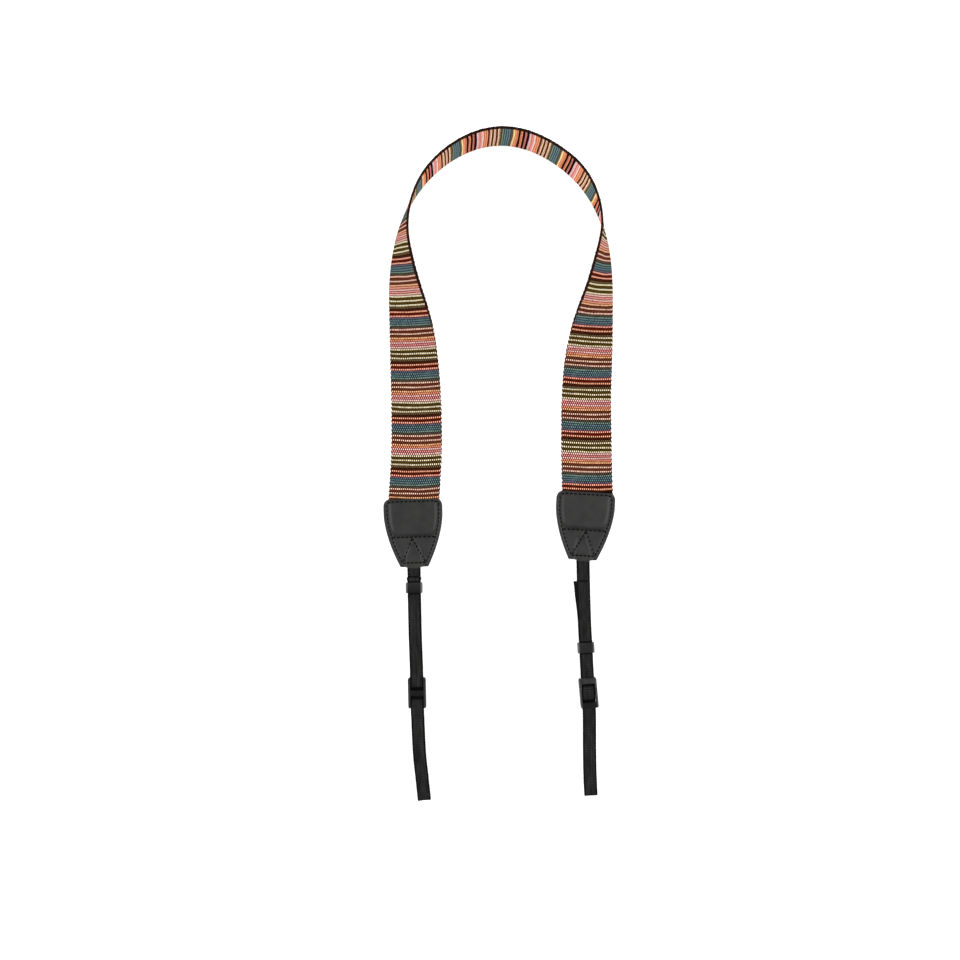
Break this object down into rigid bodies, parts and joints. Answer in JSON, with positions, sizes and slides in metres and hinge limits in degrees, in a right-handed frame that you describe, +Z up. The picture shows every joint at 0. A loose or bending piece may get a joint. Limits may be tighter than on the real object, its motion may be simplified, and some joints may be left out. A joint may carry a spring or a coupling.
{
  "type": "camera neck strap",
  "caption": "Striped woven neck band lying in an open arch, with leather end tabs and narrow webbings folded back through keepers and slide adjusters.",
  "frame": {"origin": "middle of the strap's outline on the table it lies on", "axes": "+X from the left leg to the right leg, +Y towards the crown of the arch, +Z up from the table"},
  "size_m": [0.1718, 0.488, 0.0381],
  "materials": {
    "woven_band": "coarse striped weave",
    "leather": "satin, black",
    "narrow_webbing": "fine black ribbed webbing",
    "hard_plastic": "satin, black"
  },
  "bodies": {
    "root": {"neck_band": "woven_band", "left_tab_front": "leather", "left_tab_back": "leather", "right_tab_front": "leather", "right_tab_back": "leather", "left_webbing": "narrow_webbing", "right_webbing": "narrow_webbing", "left_keeper": "hard_plastic", "right_keeper": "hard_plastic", "left_adjuster": "hard_plastic", "right_adjuster": "hard_plastic"}
  },
  "joints": []
}
